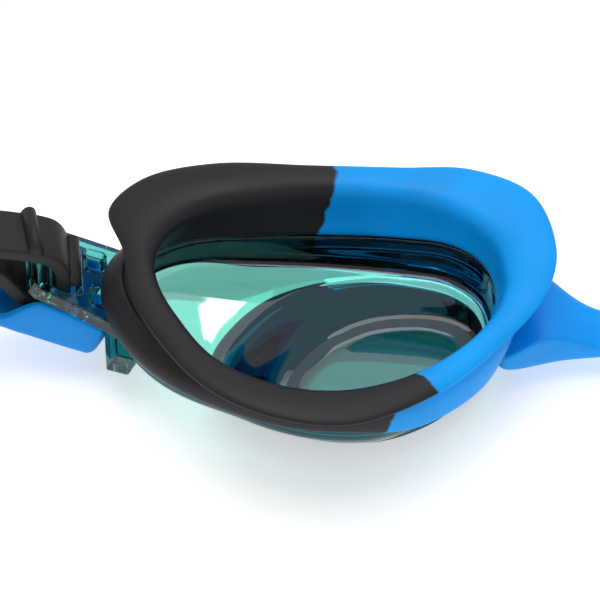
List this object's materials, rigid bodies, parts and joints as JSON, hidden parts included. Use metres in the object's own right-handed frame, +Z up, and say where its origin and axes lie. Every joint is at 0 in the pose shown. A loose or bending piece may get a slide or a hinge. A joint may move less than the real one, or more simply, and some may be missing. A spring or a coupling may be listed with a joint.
{
  "type": "swim goggles",
  "caption": "Swim goggles with stepped wraparound lenses, flared soft seals, a flexible nose bridge and a ribbed head strap threaded through ladder arms.",
  "frame": {"origin": "on the table under the middle of the whole outline, with the goggles lying on the flat faces of their lenses", "axes": "+X towards the wearer's right along the goggles' width, +Y towards the brow and the back of the strap, +Z up from the lenses towards the wearer's face"},
  "size_m": [0.2454, 0.1279, 0.0291],
  "materials": {
    "clear_green_polycarbonate": "clear tinted polycarbonate with a mirror coat",
    "black_silicone": "satin silicone",
    "blue_silicone": "satin silicone",
    "blue_plastic": "satin moulded plastic",
    "black_rubber": "satin rubber"
  },
  "bodies": {
    "left_side": {"lens_left": "clear_green_polycarbonate", "seal_outer_left": "black_silicone", "seal_nose_left": "blue_silicone", "temple_cover_left": "blue_plastic", "nose_bridge_left": "blue_silicone", "strap_left": "black_silicone"},
    "right_side": {"lens_right": "clear_green_polycarbonate", "seal_outer_right": "black_silicone", "seal_nose_right": "blue_silicone", "temple_cover_right": "blue_plastic", "nose_bridge_right": "blue_silicone", "strap_right": "black_silicone"},
    "left_keeper": {"strap_keeper_left": "black_rubber"},
    "right_keeper": {"strap_keeper_right": "black_rubber"}
  },
  "joints": [
    {"name": "bridge_flex", "type": "hinge", "parent": "left_side", "child": "right_side", "pos_m": [0, -0.03524, 0.0058], "axis": [0, -1, 0], "range_deg": [-10, 40], "stiffness_Nm_per_rad": 0.008},
    {"name": "left_keeper_slide", "type": "slide", "parent": "left_side", "child": "left_keeper", "axis": [-0.9888, -0.0865, 0.1219], "range_m": [-0.0015, 0.004]},
    {"name": "right_keeper_slide", "type": "slide", "parent": "right_side", "child": "right_keeper", "axis": [0.9888, -0.0865, 0.1219], "range_m": [-0.0015, 0.004]}
  ]
}
